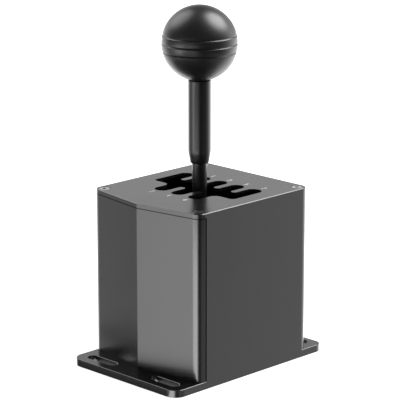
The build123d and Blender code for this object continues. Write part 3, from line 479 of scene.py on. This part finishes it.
taper_low = PLATE_TOP + SLIM_RISE
taper_high = taper_low + TAPER_LENGTH
grip_top = knob_low.z
lever = spun(
    [
        (0.0, rod_low.z),
        (SLIM_RADIUS - GRIP_CHAMFER, rod_low.z),
        (SLIM_RADIUS, rod_low.z + GRIP_CHAMFER),
        (SLIM_RADIUS, taper_low),
        (FOOT_RADIUS, taper_low),
        (GRIP_RADIUS, taper_high),
        (GRIP_RADIUS, grip_top - GRIP_CHAMFER),
        (GRIP_RADIUS - GRIP_CHAMFER, grip_top),
        (THREAD_RADIUS, grip_top),
        (THREAD_RADIUS, rod_high.z),
        (0.0, rod_high.z),
    ]
)
soften(lever, [(FOOT_RADIUS, taper_low)], TAPER_FOOT_EASE, segments=5)
soften(lever, [(GRIP_RADIUS, taper_high)], TAPER_TOP_EASE, segments=6)
lever_foot = Vector((axis_x, axis_y, 0.0))
placed(lever, "lever_bar", ("lever_black",), "lever", "lever_rod", where=lever_foot)

# %% [markdown]
# ## Gate plate screws
# Each corner of the gate plate is held by a countersunk screw with a hexagon socket. A lathe can't make
# the hexagon, so the screw isn't spun. It is made from circles of the same number of points, laid from
# the socket's floor out over the head and down to the tip, and bridged one to the next. The hexagon
# starts as a circle too, whose points are pulled onto its flats. Bridging needs some depth between two
# loops, or it may join them the wrong way round. So the head's face falls by a hundredth of a
# millimetre to its rim, and the rings are laid in millimetres and scaled to metres at the end.

# %% Screw helpers
SCREW_POINTS = 48


def circle_radius(radius):
    return lambda angle: radius


def hexagon_radius(across_flats):
    """Distance from the middle to a hexagon's side, in any direction."""
    return lambda angle: across_flats / 2 / cos((angle % (pi / 3)) - pi / 6)


def ring(mesh, radius_rule, height):
    """Adds a circle in millimetres, moves its points to the rule's radius and returns its edges."""
    points = bmesh.ops.create_circle(mesh, segments=SCREW_POINTS, radius=1.0)["verts"]
    edges = {edge for point in points for edge in point.link_edges}
    for point in points:
        radius = radius_rule(atan2(point.co.y, point.co.x))
        point.co = point.co * (radius / MM) + Vector((0.0, 0.0, height / MM))
    return list(edges)


def bridged(rings):
    """Closed mesh through rings given as (radius rule, height), with its first and last ring capped."""
    mesh = bmesh.new()
    loops = [ring(mesh, rule, height) for rule, height in rings]
    for inner, outer in zip(loops, loops[1:]):
        bmesh.ops.bridge_loops(mesh, edges=inner + outer)
    bmesh.ops.holes_fill(mesh, edges=loops[0] + loops[-1], sides=SCREW_POINTS)
    bmesh.ops.scale(mesh, verts=mesh.verts, vec=(MM, MM, MM))
    bmesh.ops.recalc_face_normals(mesh, faces=mesh.faces)
    return mesh


# %% [markdown]
# The rings of one screw follow, with heights counted from the head's face. The rim of the head is a
# small slope, and it shows as the light ring round each dark socket. The socket's faces get painted
# shade, a dark and dull material, because hardly any light gets out of so narrow a hole.

# %% Screws
# the screw's steel, and the painted shade for its socket
SCREW_STEEL_AND_SHADE = ("screw_steel", "socket_shade")
SCREW_RADIUS = 2.0 * MM
SCREW_LENGTH = 12.0 * MM
TIP_EASE = 0.5 * MM
HEAD_RADIUS = 3.75 * MM
HEAD_HEIGHT = 2.1 * MM
HEAD_LAND = 0.3 * MM
HEAD_EASE = 0.25 * MM
HEAD_CROWN = 0.01 * MM
SOCKET_ACROSS = 2.5 * MM
SOCKET_DEPTH = 1.5 * MM
SOCKET_EASE = 0.1 * MM
SOCKET_REACH = 0.6 * SOCKET_ACROSS
SCREW_SHARP_DEGREES = 25

screw_rings = (
    (hexagon_radius(SOCKET_ACROSS), -SOCKET_DEPTH),
    (hexagon_radius(SOCKET_ACROSS), -SOCKET_EASE),
    (hexagon_radius(SOCKET_ACROSS + 2 * SOCKET_EASE), 0.0),
    (circle_radius(HEAD_RADIUS - HEAD_EASE), -HEAD_CROWN),
    (circle_radius(HEAD_RADIUS), -HEAD_EASE),
    (circle_radius(HEAD_RADIUS), -HEAD_LAND),
    (circle_radius(SCREW_RADIUS), -HEAD_HEIGHT),
    (circle_radius(SCREW_RADIUS), TIP_EASE - SCREW_LENGTH),
    (circle_radius(SCREW_RADIUS - TIP_EASE), -SCREW_LENGTH),
)
screw_low, screw_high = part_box("gate_plate_screws")
all_screws = bmesh.new()
for x in (screw_low.x + HEAD_RADIUS, screw_high.x - HEAD_RADIUS):
    for y in (screw_low.y + HEAD_RADIUS, screw_high.y - HEAD_RADIUS):
        screw = bridged(screw_rings)
        # faces inside the socket get socket_shade, which is painted shade for the hole
        for face in screw.faces:
            in_socket = all(vert.co.xy.length < SOCKET_REACH for vert in face.verts)
            face.material_index = int(in_socket)
        bmesh.ops.translate(screw, verts=screw.verts, vec=(x, y, screw_high.z))
        part = bpy.data.meshes.new("one_screw")
        screw.to_mesh(part)
        screw.free()
        all_screws.from_mesh(part)
placed(
    all_screws,
    "gate_screw_heads",
    SCREW_STEEL_AND_SHADE,
    "root",
    "gate_plate_screws",
    angle=SCREW_SHARP_DEGREES,
)

# %% [markdown]
# ## The springs inside
# Three coil springs press on plungers: one holds the lever in its gear, and two bring it back to the
# middle column. One end of each spring stays with the body that carries the plunger, and the other end
# goes with the plunger, so the spring has to give way. The imported coil has the right shape, so it is
# copied. Its loose triangles are merged, and the copy takes the place of the imported coil, which is
# hidden.

# %% Springs
SPRING_FINISHES = ("spring_steel",)
for joint in frame["record"]["behaviour"]["joints"]:
    for row in joint.get("deforming_nodes", []):
        coil = bmesh.new()
        coil.from_mesh(nodes[row["node"]].data)
        bmesh.ops.remove_doubles(coil, verts=coil.verts, dist=MERGE_DISTANCE)
        spring = made(coil, row["node"].replace("spring", "coil"), SPRING_FINISHES)
        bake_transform(spring)
        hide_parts(row["node"])

# %% [markdown]
# ## The gear numbers
# The numbers are printed in white beside the end of each slot. Text is made a mesh before its place is
# applied, and it gets the thickness of a coat of ink, so it stands a hair proud of the plate. Blender
# gives the faces and the sides of thick text as separate pieces, so their shared points are merged.

# %% Numbers
NUMBER_HEIGHT = 4.3 * MM
INK_THICKNESS = 0.02 * MM
CAPITAL_SHARE = 0.7
COLUMN_PITCH = 15.8 * MM
FAR_ROW = 28.8 * MM
NEAR_ROW = -29.0 * MM
NUMBERS = (
    ("R", -2, FAR_ROW),
    ("1", -1, FAR_ROW),
    ("3", 0, FAR_ROW),
    ("5", 1, FAR_ROW),
    ("7", 2, FAR_ROW),
    ("2", -1, NEAR_ROW),
    ("4", 0, NEAR_ROW),
    ("6", 1, NEAR_ROW),
)
materials["ink_white"] = coated("ink_white", (0.6, 0.6, 0.6), 0.5)


def number_mesh(text):
    """Flat mesh of one character with its middle at the origin."""
    curve = bpy.data.curves.new("number", "FONT")
    curve.body = text
    curve.size = NUMBER_HEIGHT / CAPITAL_SHARE
    curve.extrude = INK_THICKNESS / 2
    curve.align_x = "CENTER"
    curve.align_y = "CENTER"
    writer = bpy.data.objects.new("number", curve)
    bpy.context.scene.collection.objects.link(writer)
    bpy.context.view_layer.update()
    data = bpy.data.meshes.new_from_object(writer)
    bpy.data.objects.remove(writer)
    return data


ink = bmesh.new()
for text, column, row in NUMBERS:
    data = number_mesh(text)
    place = (column * COLUMN_PITCH, row + axis_y, PLATE_TOP + INK_THICKNESS / 2)
    data.transform(Matrix.Translation(place))
    ink.from_mesh(data)
bmesh.ops.remove_doubles(ink, verts=ink.verts, dist=MERGE_DISTANCE)
bmesh.ops.recalc_face_normals(ink, faces=ink.faces)
numbers = bpy.data.meshes.new("gear_numbers")
ink.to_mesh(numbers)
ink.free()
numbers.materials.append(materials["ink_white"])
number_piece = bpy.data.objects.new("gear_numbers", numbers)
bpy.context.scene.collection.objects.link(number_piece)
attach(number_piece, "root")
print("gear numbers", len(numbers.polygons), "faces")

# %% [markdown]
# ## The studio
# The studio is plain. The floor is a wide pale sheet that catches the shifter's soft shadow. The camera
# sees it as white, through a little glow that only camera rays get, so no extra light falls on the
# shifter to whiten the background.

# %% Floor helpers
FLOOR_COLOUR = 0.88
FLOOR_ROUGHNESS = 0.9
FLOOR_GLOW = 0.6


def floor_material():
    material = bpy.data.materials.new("floor_paper")
    material.use_nodes = True
    tree = material.node_tree
    shader = tree.nodes["Principled BSDF"]
    shader.inputs["Base Color"].default_value = (FLOOR_COLOUR, FLOOR_COLOUR, FLOOR_COLOUR, 1.0)
    shader.inputs["Roughness"].default_value = FLOOR_ROUGHNESS
    rays = tree.nodes.new("ShaderNodeLightPath")
    glow = tree.nodes.new("ShaderNodeEmission")
    tree.links.new(rays.outputs["Is Camera Ray"], glow.inputs["Strength"])
    both = tree.nodes.new("ShaderNodeAddShader")
    tree.links.new(shader.outputs[0], both.inputs[0])
    tree.links.new(glow.outputs[0], both.inputs[1])
    tree.links.new(both.outputs[0], tree.nodes["Material Output"].inputs["Surface"])
    glow.inputs["Color"].default_value = (FLOOR_GLOW, FLOOR_GLOW, FLOOR_GLOW, 1.0)
    return material


def rectangle(low, high):
    """Level rectangle between two corners, made from a square that is two metres wide."""
    mesh = bmesh.new()
    bmesh.ops.create_grid(mesh, x_segments=1, y_segments=1, size=1.0)
    half = (Vector(high) - Vector(low)) / 2
    middle = (Vector(high) + Vector(low)) / 2
    bmesh.ops.scale(mesh, verts=mesh.verts, vec=(half.x, half.y, 1.0))
    bmesh.ops.translate(mesh, verts=mesh.verts, vec=(middle.x, middle.y, 0.0))
    return mesh


def staged(name, mesh, material, location):
    """Flat thing of the set, which is no part of the shifter."""
    data = bpy.data.meshes.new(name)
    mesh.to_mesh(data)
    mesh.free()
    data.materials.append(material)
    thing = bpy.data.objects.new(name, data)
    thing.location = location
    bpy.context.scene.collection.objects.link(thing)
    print(name, len(data.polygons), "faces")
    return thing


# %% [markdown]
# The floor lies a hair below the base, so the two never share a plane. Its glow doesn't know about
# shade, and it would shine white through the bolt slots from above. A dark sheet just inside the base's
# outline keeps the slots dark. Reflections see neither sheet, because the panels below the horizon,
# which come next, take the floor's place there.

# %% Floor
FLOOR_HALF = 6.0
FLOOR_DROP = -0.2 * MM
SHADE_INSET = 3.5 * MM

floor_corner = Vector((FLOOR_HALF, FLOOR_HALF))
floor_mesh = rectangle(-floor_corner, floor_corner)
floor = staged("floor", floor_mesh, floor_material(), (0.0, 0.0, FLOOR_DROP))
floor.visible_glossy = False

base_low, base_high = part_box("housing")
shade_corner = base_high.xy - Vector((SHADE_INSET, SHADE_INSET))
shade_mesh = rectangle(-shade_corner, shade_corner)
shade = staged("base_shade", shade_mesh, materials["socket_shade"], (0.0, 0.0, FLOOR_DROP / 2))
shade.visible_glossy = False

# %% [markdown]
# Black satin metal shows almost nothing but its surroundings, so the surroundings are the lighting.
# Upright faces seen from above mirror what lies below the horizon, and the gate plate mirrors a low
# band behind the shifter. The world is therefore two rings of soft panels, one below and one above the
# horizon. The brightest panels stand low in front. A dark gap runs from the camera round to the right,
# and it keeps the right side of the case dark. Each panel is an azimuth in degrees and a level, where 1
# is white.

# %% Panels
LOW_PANELS = (
    (-180, 2.4),
    (-160, 2.8),
    (-148, 1.6),
    (-126, 1.6),
    (-110, 4.2),
    (-98, 1.1),
    (-84, 2.6),
    (-68, 0.36),
    (-46, 0.5),
    (-34, 1.6),
    (-25, 2.5),
    (-14, 5.0),
    (0, 5.8),
    (26, 5.8),
    (42, 0.12),
    (66, 0.08),
    (82, 0.48),
    (108, 0.42),
    (126, 0.35),
    (144, 0.9),
    (160, 2.1),
    (180, 2.4),
)
HIGH_PANELS = (
    (-180, 0.9),
    (-115, 0.9),
    (-95, 1.5),
    (-80, 1.0),
    (-60, 0.08),
    (100, 0.08),
    (130, 0.3),
    (156, 1.9),
    (172, 1.9),
    (180, 0.9),
)
print("panels", len(LOW_PANELS), "low and", len(HIGH_PANELS), "high")

# %% [markdown]
# A colour ramp turns the azimuth into a level. Its stops are colours, so the levels are divided by a
# peak to lie between 0 and 1, and are multiplied by it again behind the ramp. The second helper goes
# smoothly from one level to another between two limits. It joins the rings at the horizon, and it
# softens the flags' edges.

# %% World helpers
PANEL_PEAK = 8.0
RAMP_MIDDLE = 0.5


def panel_ring(tree, azimuth_share, panels):
    """Level of a ring of panels, from a table of azimuth in degrees and level."""
    ramp = tree.nodes.new("ShaderNodeValToRGB")
    tree.links.new(azimuth_share, ramp.inputs["Fac"])
    stops = ramp.color_ramp.elements
    while len(stops) < len(panels):
        stops.new(RAMP_MIDDLE)
    for stop, (degrees_round, level) in zip(stops, panels):
        stop.position = degrees_round / 360 + RAMP_MIDDLE
        stop.color = (level / PANEL_PEAK,) * 3 + (1.0,)
    return math_node(tree, "MULTIPLY", ramp.outputs["Color"], PANEL_PEAK)


def blend_by(tree, position, limits, below, above):
    """Goes smoothly from one level to another as the position passes from limit to limit."""
    share = tree.nodes.new("ShaderNodeMapRange")
    share.interpolation_type = "SMOOTHSTEP"
    share.inputs["From Min"].default_value = limits[0]
    share.inputs["From Max"].default_value = limits[1]
    tree.links.new(position, share.inputs["Value"])
    mix = tree.nodes.new("ShaderNodeMix")
    tree.links.new(share.outputs["Result"], mix.inputs["Factor"])
    for socket, level in ((mix.inputs["A"], below), (mix.inputs["B"], above)):
        if isinstance(level, bpy.types.NodeSocket):
            tree.links.new(level, socket)
        else:
            socket.default_value = level
    return mix.outputs["Result"]


# %% [markdown]
# The world puts the two rings together, between a dim crown overhead and a dim pit below. The pit
# leans: behind the shifter the panels reach further down than in front. Camera rays see plain white
# instead of the panels, and matt surfaces get one plain level from all round.

# %% World
HORIZON_BLUR = (-0.12, 0.04)
CROWN_START = (0.24, 0.6)
CROWN_LEVEL = 0.1
PIT_START = (-0.78, -0.6)
PIT_LEAN = 0.3
PIT_LEVEL = 0.08
SOFT_LEVEL = 0.5


def build_world():
    world = bpy.data.worlds.new("studio")
    bpy.context.scene.world = world
    world.use_nodes = True
    tree = world.node_tree
    background = tree.nodes["Background"]
    place = tree.nodes.new("ShaderNodeTexCoord")
    split = tree.nodes.new("ShaderNodeSeparateXYZ")
    tree.links.new(place.outputs["Generated"], split.inputs[0])
    forwards = math_node(tree, "MULTIPLY", split.outputs["Y"], -1.0)
    azimuth = math_node(tree, "ARCTAN2", split.outputs["X"], forwards)
    turns = math_node(tree, "DIVIDE", azimuth, 2 * pi)
    share = math_node(tree, "ADD", turns, RAMP_MIDDLE)
    low = panel_ring(tree, share, LOW_PANELS)
    high = panel_ring(tree, share, HIGH_PANELS)
    sides = blend_by(tree, split.outputs["Z"], HORIZON_BLUR, low, high)
    capped = blend_by(tree, split.outputs["Z"], CROWN_START, sides, CROWN_LEVEL)
    lean = math_node(tree, "MULTIPLY", split.outputs["Y"], PIT_LEAN)
    depth = math_node(tree, "ADD", split.outputs["Z"], lean)
    panels = blend_by(tree, depth, PIT_START, PIT_LEVEL, capped)
    rays = tree.nodes.new("ShaderNodeLightPath").outputs
    seen = math_node(tree, "MAXIMUM", rays["Is Camera Ray"], rays["Is Transmission Ray"])
    shiny = math_node(tree, "MULTIPLY", panels, rays["Is Glossy Ray"])
    soft = math_node(tree, "MULTIPLY", rays["Is Diffuse Ray"], SOFT_LEVEL)
    total = math_node(tree, "ADD", math_node(tree, "ADD", seen, shiny), soft)
    tree.links.new(total, background.inputs["Strength"])
    background.inputs["Color"].default_value = (1.0, 1.0, 1.0, 1.0)
    print(world.name, len(tree.nodes), "nodes")


build_world()

# %% [markdown]
# Two wide area lamps hang above: a gentle one to the left and a stronger one behind on the right. They
# put the two soft highlights on the ball, light the chamfer along the gate plate's right edge, and
# throw the shadow on the floor. Each row of the table is a name, a direction, a distance and a width in
# metres, and a power in watts.

# %% Lamps
LAMPS = (
    ("lamp_left", Vector((-0.68, -0.11, 0.72)), 1.5, 1.2, 9.5),
    ("lamp_rear", Vector((0.296, 0.546, 0.783)), 1.5, 1.25, 28.5),
)
LAMP_AIM = Vector((0.0, 0.0, 0.15))
for name, towards, distance, size, power in LAMPS:
    lamp_data = bpy.data.lights.new(name, "AREA")
    lamp_data.shape = "DISK"
    lamp_data.size = size
    lamp_data.energy = power
    lamp = bpy.data.objects.new(name, lamp_data)
    lamp.location = LAMP_AIM + towards.normalized() * distance
    lamp.rotation_euler = (LAMP_AIM - lamp.location).to_track_quat("-Z", "Y").to_euler()
    bpy.context.scene.collection.objects.link(lamp)
    print(name, power, "W")

# %% [markdown]
# In a studio one side of a shiny thing is darkened with a flag, a black card just outside the picture.
# The flags here lie on the floor, and only reflections see them. A flag is a transparent sheet, and a
# rule says how dark it is from place to place, so its edge can be soft.

# %% Flag helper


def flag(name, mesh, location, darkness):
    """Flat card on the floor, with a transparent material whose darkness comes from a rule."""
    material = bpy.data.materials.new(name)
    material.use_nodes = True
    tree = material.node_tree
    place = tree.nodes.new("ShaderNodeTexCoord")
    clear = tree.nodes.new("ShaderNodeBsdfTransparent")
    tree.links.new(darkness(tree, place.outputs["Object"]), clear.inputs["Color"])
    tree.links.new(clear.outputs[0], tree.nodes["Material Output"].inputs["Surface"])
    card = staged(name, mesh, material, location)
    card.visible_camera = False
    card.visible_diffuse = False
    card.visible_shadow = False


# %% [markdown]
# The near flag takes the brightness out of the base's front edge and out of the foot of the front
# cover. It is darkest along the base and clear at its outer edge.

# %% Near flag
NEAR_FLAG_DEPTH = 0.036
NEAR_FLAG_LEFT = -0.11
NEAR_FLAG_RIGHT = 0.042
NEAR_FLAG_DARKEST = 0.25


def near_shade(tree, place):
    split = tree.nodes.new("ShaderNodeSeparateXYZ")
    tree.links.new(place, split.inputs[0])
    return blend_by(tree, split.outputs["Y"], (-NEAR_FLAG_DEPTH, 0.0), 1.0, NEAR_FLAG_DARKEST)


near_mesh = rectangle((NEAR_FLAG_LEFT, -NEAR_FLAG_DEPTH), (NEAR_FLAG_RIGHT, 0.0))
flag("near_flag", near_mesh, (0.0, base_low.y, 0.0), near_shade)

# %% [markdown]
# The far flag is mirrored only in the lever and the ball, which stand high enough to look over the near
# floor. It is a part of a ring, made by spinning one edge about the shifter.

# %% Far flag
FAR_FLAG_START = 0.45
FAR_FLAG_SOFT = 0.07
FAR_FLAG_END = 2.5
FAR_FLAG_SIDES = (-10, 118)
FAR_FLAG_DARKEST = 0.08
FAR_FLAG_STEPS = 24


def far_shade(tree, place):
    length = tree.nodes.new("ShaderNodeVectorMath")
    length.operation = "LENGTH"
    tree.links.new(place, length.inputs[0])
    limits = (FAR_FLAG_START, FAR_FLAG_START + FAR_FLAG_SOFT)
    return blend_by(tree, length.outputs["Value"], limits, 1.0, FAR_FLAG_DARKEST)


first, last = (radians(side) for side in FAR_FLAG_SIDES)
first_side = direction(first, 0.0)
far_mesh = bmesh.new()
far_ends = [far_mesh.verts.new(first_side * reach) for reach in (FAR_FLAG_START, FAR_FLAG_END)]
far_edge = far_mesh.edges.new(far_ends)
bmesh.ops.spin(
    far_mesh,
    geom=far_ends + [far_edge],
    cent=(0.0, 0.0, 0.0),
    axis=(0.0, 0.0, 1.0),
    angle=last - first,
    steps=FAR_FLAG_STEPS,
)
flag("far_flag", far_mesh, (0.0, 0.0, 0.0), far_shade)
